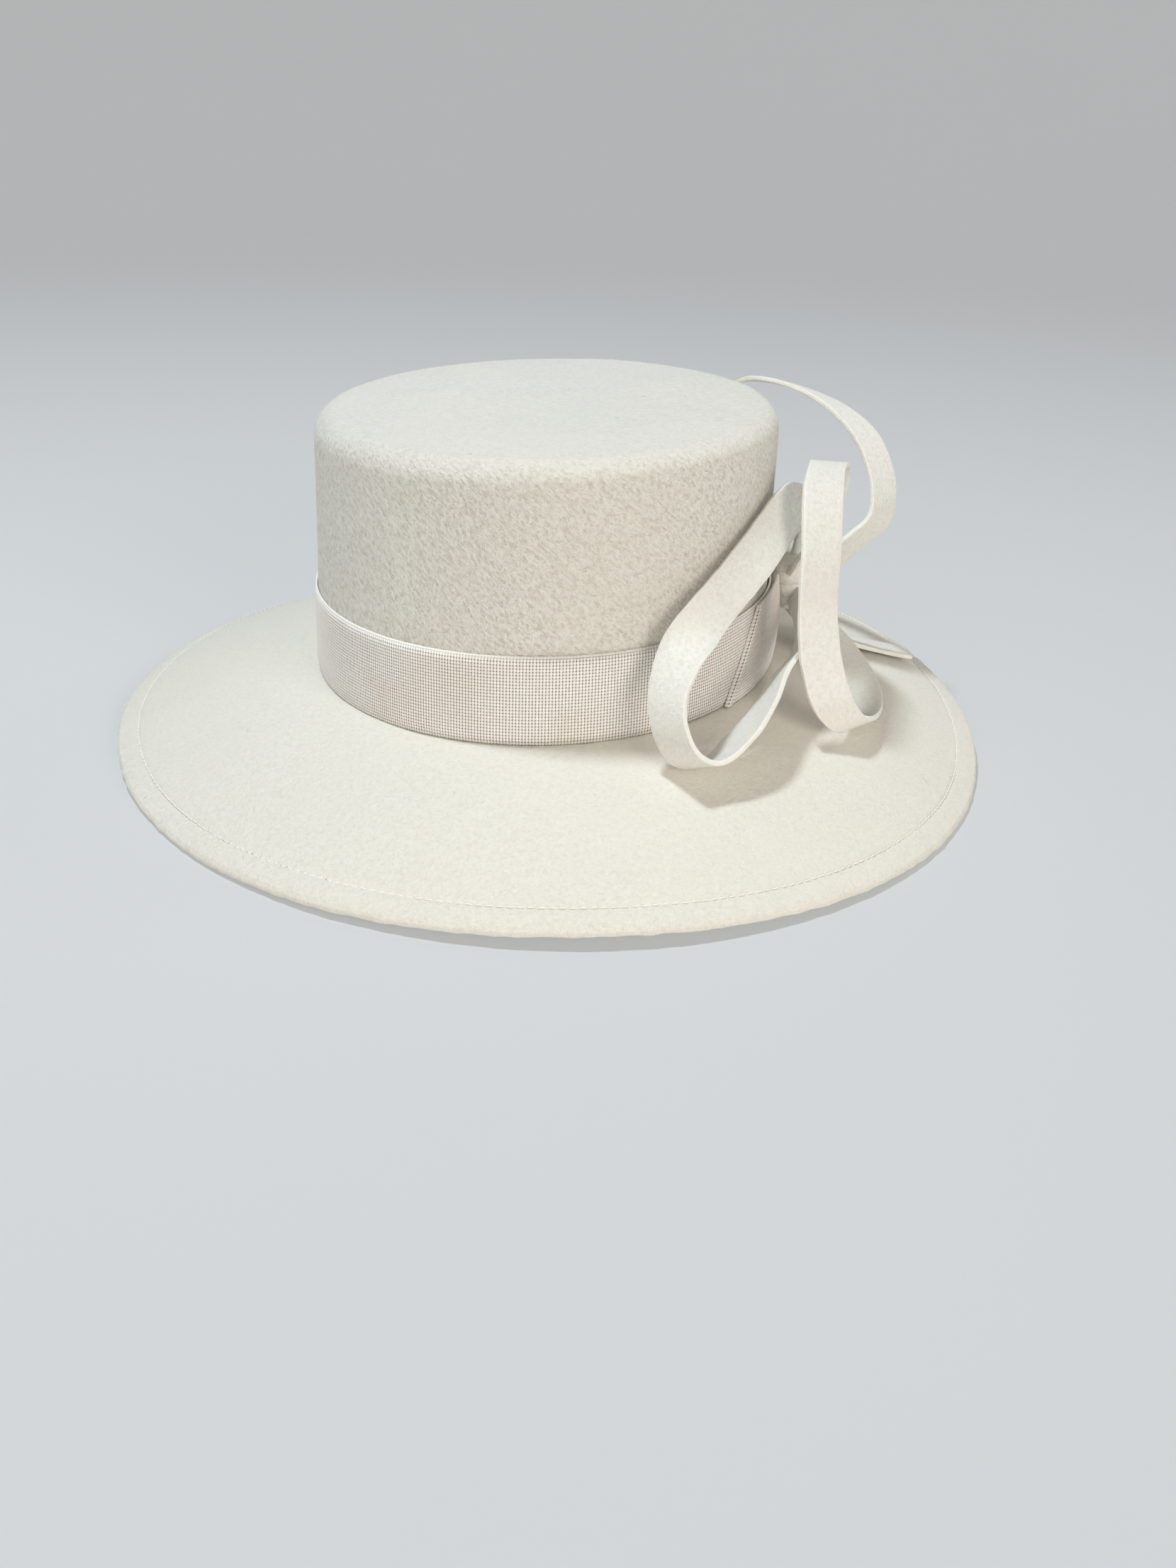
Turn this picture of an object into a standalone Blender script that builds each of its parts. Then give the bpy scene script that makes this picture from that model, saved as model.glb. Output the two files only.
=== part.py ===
"""Wide-brimmed felt hat: straight-sided crown, down-sloping brim with a turned-under hem,
ribbed band, and a trim of looped felt strips held by a small knot on the right side.

Metres. The hat stands on its brim: z = 0 is the surface under it, and the origin is below the
middle of the brim. +X is the side with the trim, -Y is the front and +Z is up.
"""
import math

import bmesh
import bpy
from mathutils import Vector

# Felt and fits
FELT = 0.0016
CLOTH_GAP = 0.0003
AROUND = 80

# Brim: outline, slope and hem
BRIM_HALF_WIDTH = 0.1649
BRIM_HALF_DEPTH = 0.1846
BRIM_RISE = 0.0305
BRIM_FLATNESS = 0.36
HEM_WIDTH = 0.0095
COLLAR_HEIGHT = 0.010
# Rings of the brim as shares of its width inside the hem, and turns of the rounded edge in degrees
BRIM_RINGS = (0.0, 0.19, 0.38, 0.57, 0.77)
BRIM_EDGE_TURNS = (45, 90, 135)

# Crown: oval, height, soft top edge and slightly domed tip
CROWN_HALF_WIDTH = 0.085
CROWN_HALF_DEPTH = 0.1026
CROWN_HEIGHT = 0.0962
CROWN_SHIFT = -0.0034
CROWN_TAPER = 0.0006
CROWN_EDGE_RADIUS = 0.0076
TIP_DOME = 0.002
# Turns of the crown's soft edge in degrees, and rings of its tip as shares of the tip's half size
CROWN_EDGE_TURNS = (22, 45, 68, 90)
TIP_SLOPE_SHARE = 0.72
TIP_FLAT_SHARE = 0.42
LEAN_SIDE = math.radians(2.7)
LEAN_BACK = math.radians(-0.4)

# Ribbon band and its lapped end
BAND_HEIGHT = 0.031
BAND_THICKNESS = 0.001

# Trim of felt strips, and the knot that holds them
STRIP_WIDTH = 0.016
STRIP_THICKNESS = 0.0017
KNOT_WIDTH = 0.015
KNOT_DEPTH = 0.018
KNOT_HEIGHT = 0.022
KNOT_AZIMUTH = -7.0
KNOT_UP = 0.26
# Bevel of the knot's cage, as a share of the cage
KNOT_BEVEL = 0.22

# Edges that turn by less than this are shaded smooth
SMOOTH_ANGLE = math.radians(40)

# Gap between the brim's edge and the surface under it: azimuth in degrees, share of BRIM_RISE
BRIM_LIFTS = [
    (0, 0.20),
    (30, 0.34),
    (60, 0.20),
    (90, 0.07),
    (120, 0.0),
    (150, 0.07),
    (180, 0.06),
    (210, 0.0),
    (240, 0.06),
    (270, 0.12),
    (300, 0.05),
    (330, 0.0),
]

# Lapped end of the band, from its slanted cut to the knot:
# azimuth of the lower edge, azimuth of the upper edge, stand-off as a share of BAND_HEIGHT
BAND_END_COLUMNS = [
    (-49, -36, 0.0),
    (-44, -33, 0.0),
    (-39, -30, 0.005),
    (-33, -26, 0.01),
    (-27, -22, 0.025),
    (-22, -18, 0.055),
    (-17, -14, 0.085),
]
BAND_END_STEPS = 5

# Strips of the trim, a row for each bend. Columns:
# azimuth in degrees; distance out from the crown as a share of the brim's width; height over the
# brim as a share of CROWN_HEIGHT; compass turn and upward tilt of the width line in degrees;
# width as a share of STRIP_WIDTH
LOOP_FRONT_ROWS = [
    (-9, 0.105, 0.31, -127, -11, 0.4),
    (-11.5, 0.145, 0.40, -127, -8, 0.75),
    (-16, 0.175, 0.51, -126, -20, 1),
    (-20, 0.19, 0.61, -108, -52, 1),
    (-24, 0.15, 0.665, -70, -78, 1),
    (-27, 0.117, 0.691, -38, -66, 1),
    (-32.5, 0.095, 0.675, -14, -60, 1),
    (-48, 0.10, 0.581, 3, -43, 1),
    (-64, 0.135, 0.435, -5, -40, 1),
    (-71, 0.20, 0.365, -40, -12, 1),
    (-75, 0.28, 0.26, -52, 10, 1),
    (-75.2, 0.345, 0.173, -55, 22, 1),
    (-73.3, 0.385, 0.105, -60, 28, 1),
    (-69, 0.39, 0.075, -68, 24, 1),
    (-62.5, 0.375, 0.135, -71, 17, 1),
    (-55.5, 0.33, 0.185, -76, 24, 1),
    (-46, 0.245, 0.205, -79, 34, 1),
    (-33, 0.22, 0.225, -66, 47, 1),
    (-22, 0.18, 0.24, -40, 59, 0.8),
    (-11, 0.125, 0.245, -16, 61, 0.45),
]
LOOP_MIDDLE_ROWS = [
    (-5, 0.135, 0.335, 23, 0, 0.4),
    (-5.5, 0.20, 0.46, 15, 4, 0.85),
    (-9, 0.23, 0.63, 11, 4, 1),
    (-14, 0.23, 0.785, 10, 1, 1),
    (-24, 0.218, 0.843, 20, -13, 1),
    (-32, 0.241, 0.795, 15, -15, 1),
    (-37, 0.289, 0.64, 20, -10, 1),
    (-40, 0.325, 0.43, 21, -8, 1),
    (-42, 0.39, 0.263, 15, -3, 1),
    (-42, 0.455, 0.158, 17, 4, 1),
    (-40, 0.493, 0.105, 21, 6, 1),
    (-36.5, 0.513, 0.07, 25, 8, 1),
    (-31, 0.51, 0.057, 25, 9, 1),
    (-25, 0.472, 0.062, 24, 6, 1),
    (-20, 0.415, 0.084, 27, 3, 1),
    (-15, 0.34, 0.112, 33, 5, 1),
    (-10.5, 0.245, 0.15, 37, 14, 0.8),
    (-8, 0.165, 0.2, 39, 20, 0.45),
]
LOOP_BACK_ROWS = [
    (-6, 0.165, 0.25, 56, -58, 0.4),
    (-1.5, 0.30, 0.34, 52, -40, 0.85),
    (1.5, 0.475, 0.472, 48, -28, 1),
    (3.2, 0.585, 0.57, 40, -19, 1),
    (6, 0.62, 0.70, 36, -9, 1),
    (10, 0.58, 0.845, 38, -3, 1),
    (14.5, 0.487, 0.92, 47, -6, 1),
    (20, 0.389, 0.953, 63, -9, 1),
    (26, 0.275, 0.962, 75, -11, 1),
    (32, 0.215, 0.94, 78, -11, 1),
    (35.5, 0.185, 0.87, 67, -8, 1),
    (34, 0.158, 0.745, 53, -5, 1),
    (27, 0.137, 0.585, 40, -9, 1),
    (16, 0.137, 0.44, 23, -16, 1),
    (6, 0.145, 0.335, 6, -15, 0.75),
    (-3, 0.115, 0.265, 0, -11, 0.4),
]
TAIL_ROWS = [
    (-6, 0.12, 0.165, 108, 0, 0.45),
    (-3.5, 0.218, 0.098, 108, -3, 0.9),
    (-1, 0.324, 0.058, 107, -5, 1),
    (1.2, 0.445, 0.034, 103, -5, 1),
    (3.2, 0.58, 0.024, 100, -3, 1),
    (4.9, 0.715, 0.024, 97, -2, 1),
    (6.2, 0.84, 0.031, 95, -3, 1),
]
STRIPS = {
    "loop_front": LOOP_FRONT_ROWS,
    "loop_middle": LOOP_MIDDLE_ROWS,
    "loop_back": LOOP_BACK_ROWS,
    "tail": TAIL_ROWS,
}
STEPS_PER_ROW = 3

# Base colours and roughness of the materials
IVORY_FELT = (0.80, 0.765, 0.69)
IVORY_RIBBON = (0.745, 0.69, 0.635)
STRIP_FELT = (0.80, 0.775, 0.715)
FELT_ROUGHNESS = 0.95
RIBBON_ROUGHNESS = 0.7


def clear_scene():
    for thing in list(bpy.data.objects):
        bpy.data.objects.remove(thing, do_unlink=True)


def make_material(name, colour, roughness):
    material = bpy.data.materials.new(name)
    material.use_nodes = True
    shader = material.node_tree.nodes["Principled BSDF"]
    shader.inputs["Base Color"].default_value = (*colour, 1.0)
    shader.inputs["Roughness"].default_value = roughness
    shader.inputs["Metallic"].default_value = 0.0
    return material


def make_object(name, mesh, collection, material):
    thing = bpy.data.objects.new(name, mesh)
    collection.objects.link(thing)
    mesh.materials.append(material)
    mesh.shade_smooth()
    mesh.set_sharp_from_angle(angle=SMOOTH_ANGLE)
    return thing


def loft(name, rings, closed):
    """Quads between rings of equal length. A closed loft joins its last ring to its first,
    and an open one has a face over each end."""
    mesh = bpy.data.meshes.new(name)
    bm = bmesh.new()
    rows = [[bm.verts.new(point) for point in ring] for ring in rings]
    count = len(rows[0])
    pairs = list(zip(rows, rows[1:]))
    if closed:
        pairs.append((rows[-1], rows[0]))
    else:
        bm.faces.new(rows[0])
        bm.faces.new(rows[-1])
    for lower, upper in pairs:
        for i in range(count):
            j = (i + 1) % count
            bm.faces.new((lower[i], lower[j], upper[j], upper[i]))
    bmesh.ops.recalc_face_normals(bm, faces=bm.faces)
    bm.to_mesh(mesh)
    bm.free()
    return mesh


def around():
    return [2 * math.pi * i / AROUND for i in range(AROUND)]


def lean(x, y):
    """Height that the crown's lean adds at a place measured from the crown's middle."""
    return x * math.tan(LEAN_SIDE) + y * math.tan(LEAN_BACK)


def crown_point(angle, offset, height):
    """Point on the crown's oval, offset outwards, at a height over the brim."""
    x = (CROWN_HALF_WIDTH + offset) * math.cos(angle)
    y = (CROWN_HALF_DEPTH + offset) * math.sin(angle)
    return Vector((CROWN_SHIFT + x, y, BRIM_RISE + height + lean(x, y)))


def brim_lift(angle):
    """Gap under the brim's edge, by monotone cubic steps through the table."""
    step = 360 / len(BRIM_LIFTS)
    place = (math.degrees(angle) % 360) / step
    low = int(place) % len(BRIM_LIFTS)
    u = place - int(place)
    value = [BRIM_LIFTS[(low + k) % len(BRIM_LIFTS)][1] for k in (-1, 0, 1, 2)]
    rise = [value[k + 1] - value[k] for k in range(3)]
    slopes = []
    for before, after in zip(rise, rise[1:]):
        if before * after <= 0:
            slopes.append(0.0)
        else:
            slopes.append(2 * before * after / (before + after))
    share = (
        (2 * u**3 - 3 * u**2 + 1) * value[1]
        + (u**3 - 2 * u**2 + u) * slopes[0]
        + (3 * u**2 - 2 * u**3) * value[2]
        + (u**3 - u**2) * slopes[1]
    )
    return share * BRIM_RISE


def brim_edge(angle):
    return BRIM_HALF_WIDTH * math.cos(angle), BRIM_HALF_DEPTH * math.sin(angle)


def brim_width(angle):
    inner = crown_point(angle, 0.0, 0.0)
    x, y = brim_edge(angle)
    return math.hypot(x - inner.x, y - inner.y)


def brim_edge_tilt(angle):
    rise = crown_point(angle, 0.0, 0.0).z - brim_lift(angle)
    return math.atan((2 - BRIM_FLATNESS) * rise / brim_width(angle))


def brim_edge_inset(angle):
    """How far inside the outline the rounded edge starts, so that it ends at the outline."""
    return FELT * (1 - math.sin(brim_edge_tilt(angle)))


def brim_edge_height(angle):
    """Height of the top face at the outline that puts the rounded edge's lowest point at the lift."""
    tilt = brim_edge_tilt(angle)
    fall = math.tan(tilt) * brim_edge_inset(angle)
    return brim_lift(angle) + FELT * (1 + math.cos(tilt)) - fall


def brim_top(angle, out):
    """Top face of the brim: out is 0 at the crown and 1 at the edge."""
    inner = crown_point(angle, 0.0, 0.0)
    x, y = brim_edge(angle)
    fall = BRIM_FLATNESS * out + (1 - BRIM_FLATNESS) * out * out
    return Vector((
        inner.x + (x - inner.x) * out,
        inner.y + (y - inner.y) * out,
        inner.z + (brim_edge_height(angle) - inner.z) * fall,
    ))


def brim_normal(angle, out):
    """Upward normal of the brim's top face in its radial section."""
    nudge = 0.01
    along = brim_top(angle, out + nudge) - brim_top(angle, out - nudge)
    flat = Vector((along.x, along.y, 0.0)).normalized()
    run = math.hypot(along.x, along.y)
    return (Vector((0, 0, run)) - flat * along.z).normalized()


def brim_section(angle):
    """Closed section of the brim: collar, top face, rounded edge, hem and underside."""
    edge_out = 1 - brim_edge_inset(angle) / brim_width(angle)
    hem_out = 1 - HEM_WIDTH / brim_width(angle)
    collar_outside = -(FELT + CLOTH_GAP)
    collar_inside = collar_outside - FELT
    points = [
        crown_point(angle, collar_outside, COLLAR_HEIGHT),
        crown_point(angle, collar_outside, 0.0),
    ]
    rings = [share * hem_out for share in BRIM_RINGS]
    for out in rings + [hem_out, edge_out]:
        points.append(brim_top(angle, out))
    normal = brim_normal(angle, edge_out)
    middle = brim_top(angle, edge_out) - normal * FELT
    outward = Vector((math.cos(angle), math.sin(angle), 0.0))
    outward = (outward - normal * outward.dot(normal)).normalized()
    for degrees in BRIM_EDGE_TURNS:
        turn = math.radians(degrees)
        points.append(middle + (normal * math.cos(turn) + outward * math.sin(turn)) * FELT)
    for out in (edge_out, hem_out):
        points.append(brim_top(angle, out) - brim_normal(angle, out) * 2 * FELT)
    for out in reversed(rings + [hem_out]):
        points.append(brim_top(angle, out) - brim_normal(angle, out) * FELT)
    points.append(crown_point(angle, collar_inside, -FELT))
    points.append(crown_point(angle, collar_inside, COLLAR_HEIGHT))
    return points


def stand_on_floor(rings):
    """Flatten what would dip under the surface that the hat stands on."""
    for ring in rings:
        for point in ring:
            point.z = max(point.z, 0.0)
    return rings


def make_brim(collection, material):
    sections = [brim_section(angle) for angle in around()]
    rings = [list(ring) for ring in zip(*sections)]
    return make_object("brim", loft("brim", stand_on_floor(rings), True), collection, material)


def crown_rings(inset):
    """Rings of one face of the crown, from its lower edge to the flat middle of its tip."""
    radius = CROWN_EDGE_RADIUS - inset
    wall_top = CROWN_HEIGHT - TIP_DOME - CROWN_EDGE_RADIUS
    levels = [(-inset, CLOTH_GAP), (-inset - CROWN_TAPER, wall_top)]
    for degrees in CROWN_EDGE_TURNS:
        turn = math.radians(degrees)
        levels.append((
            -inset - CROWN_TAPER - radius * (1 - math.cos(turn)),
            wall_top + radius * math.sin(turn),
        ))
    shoulder = CROWN_EDGE_RADIUS + CROWN_TAPER
    rings = [[crown_point(a, offset, height) for a in around()] for offset, height in levels]
    for share in (TIP_SLOPE_SHARE, TIP_FLAT_SHARE):
        rise = 1 - ((share - TIP_FLAT_SHARE) / (1 - TIP_FLAT_SHARE)) ** 2
        height = CROWN_HEIGHT - TIP_DOME + TIP_DOME * rise - inset
        ring = []
        for angle in around():
            x = (CROWN_HALF_WIDTH - shoulder) * share * math.cos(angle)
            y = (CROWN_HALF_DEPTH - shoulder) * share * math.sin(angle)
            ring.append(Vector((CROWN_SHIFT + x, y, BRIM_RISE + height + lean(x, y))))
        rings.append(ring)
    return rings


def make_crown(collection, material):
    inner = crown_rings(FELT)
    outer = crown_rings(0.0)
    rings = list(reversed(inner)) + outer
    return make_object("crown", loft("crown", rings, False), collection, material)


def make_band(collection, material):
    inside = CLOTH_GAP
    outside = CLOTH_GAP + BAND_THICKNESS
    bottom = CLOTH_GAP
    top = CLOTH_GAP + BAND_HEIGHT
    corners = [(inside, bottom), (outside, bottom), (outside, top), (inside, top)]
    rings = [[crown_point(a, offset, height) for a in around()] for offset, height in corners]
    return make_object("band", loft("band", rings, True), collection, material)


def make_band_end(collection, material):
    """Lapped end of the ribbon: sections that follow its slant up the crown's side."""
    inside = 2 * CLOTH_GAP + BAND_THICKNESS
    sections = []
    for low_azimuth, high_azimuth, stand_off in BAND_END_COLUMNS:
        inner = []
        outer = []
        for step in range(BAND_END_STEPS + 1):
            share = step / BAND_END_STEPS
            angle = math.radians(low_azimuth + (high_azimuth - low_azimuth) * share)
            near = inside + stand_off * BAND_HEIGHT * (1 + math.sin(math.pi * share)) / 2
            height = CLOTH_GAP + BAND_HEIGHT * share
            inner.append(crown_point(angle, near, height))
            outer.append(crown_point(angle, near + BAND_THICKNESS, height))
        sections.append(outer + list(reversed(inner)))
    return make_object("band_end", loft("band_end", sections, False), collection, material)


def knot_centre():
    angle = math.radians(KNOT_AZIMUTH)
    clear = 2 * CLOTH_GAP + BAND_THICKNESS
    return crown_point(angle, clear + KNOT_WIDTH / 2, KNOT_UP * CROWN_HEIGHT)


def make_pillow(name, grow, collection, material):
    """Soft rounded block from a cube cage with Subdivision Surface."""
    mesh = bpy.data.meshes.new(name)
    bm = bmesh.new()
    bmesh.ops.create_cube(bm, size=1.0)
    size = Vector((KNOT_WIDTH, KNOT_DEPTH, KNOT_HEIGHT)) + Vector((grow, grow, grow)) * 2
    bmesh.ops.bevel(bm, geom=bm.edges[:], offset=KNOT_BEVEL, segments=1, affect="EDGES")
    bmesh.ops.scale(bm, vec=size, verts=bm.verts)
    bm.to_mesh(mesh)
    bm.free()
    thing = make_object(name, mesh, collection, material)
    thing.location = knot_centre()
    soften = thing.modifiers.new("soften", "SUBSURF")
    soften.levels = 1
    soften.render_levels = 1
    return thing


def strip_row(azimuth, out, up, turn, tilt, width):
    """Middle of a strip's row, and half of its width line."""
    angle = math.radians(azimuth)
    middle = brim_top(angle, out) + Vector((0, 0, up * CROWN_HEIGHT))
    turn = math.radians(turn)
    tilt = math.radians(tilt)
    line = Vector((
        math.cos(turn) * math.cos(tilt),
        math.sin(turn) * math.cos(tilt),
        math.sin(tilt),
    ))
    return middle, line * width * STRIP_WIDTH / 2


def smooth_rows(rows):
    """Smooth curve through the rows, spaced by the root of the distance between them."""
    middles = [row[0] for row in rows]
    halves = [row[1] for row in rows]
    gaps = [math.sqrt((b - a).length) for a, b in zip(middles, middles[1:])]

    def slope(values, i):
        if i == 0:
            return (values[1] - values[0]) / gaps[0]
        if i == len(values) - 1:
            return (values[-1] - values[-2]) / gaps[-1]
        before, after = gaps[i - 1], gaps[i]
        back = (values[i] - values[i - 1]) / before
        ahead = (values[i + 1] - values[i]) / after
        return (back * after + ahead * before) / (before + after)

    def between(values, i, u):
        span = gaps[i]
        return (
            values[i] * (2 * u**3 - 3 * u**2 + 1)
            + slope(values, i) * span * (u**3 - 2 * u**2 + u)
            + values[i + 1] * (3 * u**2 - 2 * u**3)
            + slope(values, i + 1) * span * (u**3 - u**2)
        )

    result = []
    for i in range(len(rows) - 1):
        for k in range(STEPS_PER_ROW):
            u = k / STEPS_PER_ROW
            length = halves[i].length + (halves[i + 1].length - halves[i].length) * u
            half = between(halves, i, u).normalized() * length
            result.append((between(middles, i, u), half))
    result.append(rows[-1])
    return result


def make_strip(name, table, collection, material, cutter):
    """Felt strip: sections across a twisting path, with its ends cut to the knot."""
    rows = smooth_rows([strip_row(*row) for row in table])
    sections = []
    for i, (middle, half) in enumerate(rows):
        ahead = rows[min(i + 1, len(rows) - 1)][0] - rows[max(i - 1, 0)][0]
        face = ahead.cross(half).normalized() * STRIP_THICKNESS / 2
        sections.append([middle - half - face, middle + half - face,
                         middle + half + face, middle - half + face])
    strip = make_object(name, loft(name, sections, False), collection, material)
    cut = strip.modifiers.new("seat_on_knot", "BOOLEAN")
    cut.operation = "DIFFERENCE"
    cut.object = cutter
    cut.solver = "EXACT"
    return strip


def main():
    clear_scene()
    parts = bpy.data.collections.new("felt_hat")
    cutters = bpy.data.collections.new("cutters")
    bpy.context.scene.collection.children.link(parts)
    bpy.context.scene.collection.children.link(cutters)
    felt = make_material("ivory_felt", IVORY_FELT, FELT_ROUGHNESS)
    ribbon = make_material("ivory_ribbon", IVORY_RIBBON, RIBBON_ROUGHNESS)
    strip_felt = make_material("strip_felt", STRIP_FELT, FELT_ROUGHNESS)
    make_crown(parts, felt)
    make_brim(parts, felt)
    make_band(parts, ribbon)
    make_band_end(parts, ribbon)
    make_pillow("knot", 0.0, parts, strip_felt)
    cutter = make_pillow("knot_room", CLOTH_GAP, cutters, strip_felt)
    cutter.hide_render = True
    cutter.display_type = "WIRE"
    for name, table in STRIPS.items():
        make_strip(name, table, parts, strip_felt, cutter)


main()
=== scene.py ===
"""Looks of the wide-brimmed felt hat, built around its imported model.

Metres, +Z up. -Y is the hat's front, and +X is the side with the trim.
"""

import math
import random

import bmesh
import bpy
import numpy as np
from mathutils import Matrix, Vector, noise

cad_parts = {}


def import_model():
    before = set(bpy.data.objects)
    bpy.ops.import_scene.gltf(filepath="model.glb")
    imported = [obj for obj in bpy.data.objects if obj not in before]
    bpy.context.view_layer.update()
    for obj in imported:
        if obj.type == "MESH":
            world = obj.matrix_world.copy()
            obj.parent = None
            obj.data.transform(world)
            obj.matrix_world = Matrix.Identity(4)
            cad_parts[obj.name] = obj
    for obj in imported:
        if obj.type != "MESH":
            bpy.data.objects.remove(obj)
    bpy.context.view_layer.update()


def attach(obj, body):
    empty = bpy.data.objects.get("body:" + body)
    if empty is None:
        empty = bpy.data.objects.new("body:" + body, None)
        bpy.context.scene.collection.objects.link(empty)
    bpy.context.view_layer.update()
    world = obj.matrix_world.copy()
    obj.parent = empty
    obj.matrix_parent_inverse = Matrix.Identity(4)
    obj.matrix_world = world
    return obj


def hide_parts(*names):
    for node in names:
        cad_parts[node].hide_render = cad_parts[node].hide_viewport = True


# Camera at the photograph's viewing angle: place, and turn, tilt and roll in degrees
CAMERA_PLACE = (-0.0615, -0.5857, 0.2357)
CAMERA_TURN = 7.63
CAMERA_TILT = -24.21
CAMERA_ROLL = 1.94
CAMERA_LENS = 36.41
SENSOR = 36.0

# Lights: name, place, width, power in watts, colour
LIGHTS = [
    ("overhead", (-0.30, 0.06, 1.36), 0.17, 12.3, (0.81, 0.92, 1.0)),
    ("behind_right", (0.90, 0.30, 1.00), 0.30, 0.6, (1.0, 0.98, 0.95)),
    ("front_right", (0.89, -2.01, 0.68), 1.15, 21.0, (1.0, 0.925, 0.82)),
    ("front_left", (-0.86, -2.01, 0.68), 1.30, 10.0, (1.0, 0.925, 0.82)),
]
LIGHTS_AIM = (0.0, 0.0, 0.05)
SKY_COLOUR = (1.0, 0.95, 0.90)
SKY_STRENGTH = 0.12

# Floor, which curves up into a round wall
FLOOR_COLOUR = (0.41, 0.41, 0.41)
FLOOR_PALE = (0.4223, 0.4223, 0.4223)
GLOW_COLOUR = (0.90, 0.93, 0.95)
FLOOR_GLOW = 0.27
FLOOR_RADIUS = 1.6
WALL_RADIUS = 2.6
WALL_HEIGHT = 2.4
STAGE_SIDES = 64

# Tones of the felts, the ribbon, the thread and the loose fibres
# The tip's two tones are painted shade: darker than the side's, though tip and side are the same felt
TIP_SHADED_LIGHT = (0.82, 0.785, 0.725)
TIP_SHADED_DARK = (0.69, 0.65, 0.58)
SIDE_LIGHT = (0.92, 0.895, 0.82)
SIDE_DARK = (0.70, 0.66, 0.57)
FELT_WARM = (0.85, 0.80, 0.71)
# The brim's two tones are painted shade: darker and warmer than the crown side's, though it is the same
# felt
BRIM_SHADED_LIGHT = (0.86, 0.825, 0.74)
BRIM_SHADED_DARK = (0.765, 0.72, 0.63)
STRIP_LIGHT = (0.875, 0.86, 0.805)
STRIP_DARK = (0.74, 0.71, 0.635)
STRIP_WARM = (0.84, 0.785, 0.70)
# Painted highlight laid along the strips' cut edges
CUT_EDGE_HIGHLIGHT = (0.93, 0.905, 0.83)
FELT_SPECKS = (0.33, 0.29, 0.24)
RIBBON_LIGHT = (0.95, 0.915, 0.875)
# Dark end of the ribbon's painted shade in the gaps between ribs and threads, which its grain also
# reaches a little
RIBBON_GAP_SHADE_AND_GRAIN = (0.20, 0.165, 0.14)
RIBBON_WARM = (0.96, 0.92, 0.885)
RIBBON_EDGE = (0.95, 0.92, 0.84)
RIBBON_SPECKS = (0.28, 0.24, 0.20)
THREAD_LIGHT = (0.97, 0.96, 0.93)
THREAD_DARK = (0.90, 0.88, 0.83)
FUZZ_LIGHT = (0.93, 0.92, 0.87)
HAIR_LIGHT = (0.275, 0.2125, 0.1625)
HAIR_DARK = (0.11, 0.085, 0.065)

# Surfaces: roughness, sheen, roughness of the sheen, tint of the sheen
FELT_SURFACE = (0.95, 0.25, 0.45, (1.0, 0.98, 0.94))
STRIP_SURFACE = (0.95, 0.25, 0.45, (1.0, 0.99, 0.96))
RIBBON_SURFACE = (0.75, 0.15, 0.4, (1.0, 0.97, 0.94))
THREAD_SURFACE = (0.6, 0.1, 0.4, (1.0, 1.0, 1.0))
FIBRE_SURFACE = (0.8, 0.2, 0.4, (1.0, 1.0, 1.0))

# Nap of the crown's side: its depth, and the tone and depth that its slanting streaks add
SIDE_DEPTH = 0.0011
STREAK_SHARE = 0.7
STREAK_DEPTH = 0.0011

# Specks: cells for each metre, radius as a share of a cell, and the share of the cells without one
SPECK_CELLS = 42.0
SPECK_RADIUS = 0.016
SPECK_FREE = 0.72

# Felt and fits, as in the solids
FELT = 0.0016
CLOTH_GAP = 0.0003

# Brim: outline, slope and hem, as in the solids
BRIM_HALF_WIDTH = 0.1649
BRIM_HALF_DEPTH = 0.1846
BRIM_RISE = 0.0305
BRIM_FLATNESS = 0.36
HEM_WIDTH = 0.0095
COLLAR_HEIGHT = 0.010
BRIM_LIFTS = [0.20, 0.34, 0.20, 0.07, 0.0, 0.07, 0.06, 0.0, 0.06, 0.12, 0.05, 0.0]

# Crown, as in the solids
CROWN_HALF_WIDTH = 0.085
CROWN_HALF_DEPTH = 0.1026
CROWN_HEIGHT = 0.0962
CROWN_SHIFT = -0.0034
CROWN_TAPER = 0.0006
CROWN_EDGE_RADIUS = 0.0076
TIP_DOME = 0.002
TIP_FLAT_SHARE = 0.42
LEAN_SIDE = math.radians(2.7)
LEAN_BACK = math.radians(-0.4)

# Ribbon, as in the solids. Its lapped end has a row for each bend: azimuth of the lower edge,
# azimuth of the upper edge, stand-off as a share of BAND_HEIGHT
BAND_HEIGHT = 0.031
BAND_THICKNESS = 0.001
BAND_END_COLUMNS = [
    (-49, -36, 0.0),
    (-44, -33, 0.0),
    (-39, -30, 0.005),
    (-33, -26, 0.01),
    (-27, -22, 0.025),
    (-22, -18, 0.055),
    (-17, -14, 0.085),
]

# Weave: pitch and height of the ribs, pitch of the cross threads, fine loops along the edges, and
# how much painted shade darkens the gaps between ribs and threads and their crossings, and how much the
# grain darkens the ribbon
RIB_PITCH = 0.00109
RIB_RELIEF = 0.00028
THREAD_PITCH = 0.00112
PICOT = 0.00022
RIB_SHADE = 0.48
THREAD_SHADE = 0.24
CROSSING_SHADE = 1.1
GRAIN_SHADE = 0.35

# Folded edge of the lap: height and width of its ridge, and its least thickness as a share
FOLD_RIDGE = 0.0008
FOLD_RIDGE_WIDTH = 0.0016
FOLD_THINNEST = 0.15

# Trim, as in the solids
STRIP_WIDTH = 0.016
STRIP_THICKNESS = 0.0017
KNOT_WIDTH = 0.015
KNOT_DEPTH = 0.018
KNOT_HEIGHT = 0.022
KNOT_AZIMUTH = -7.0
KNOT_UP = 0.26
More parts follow.
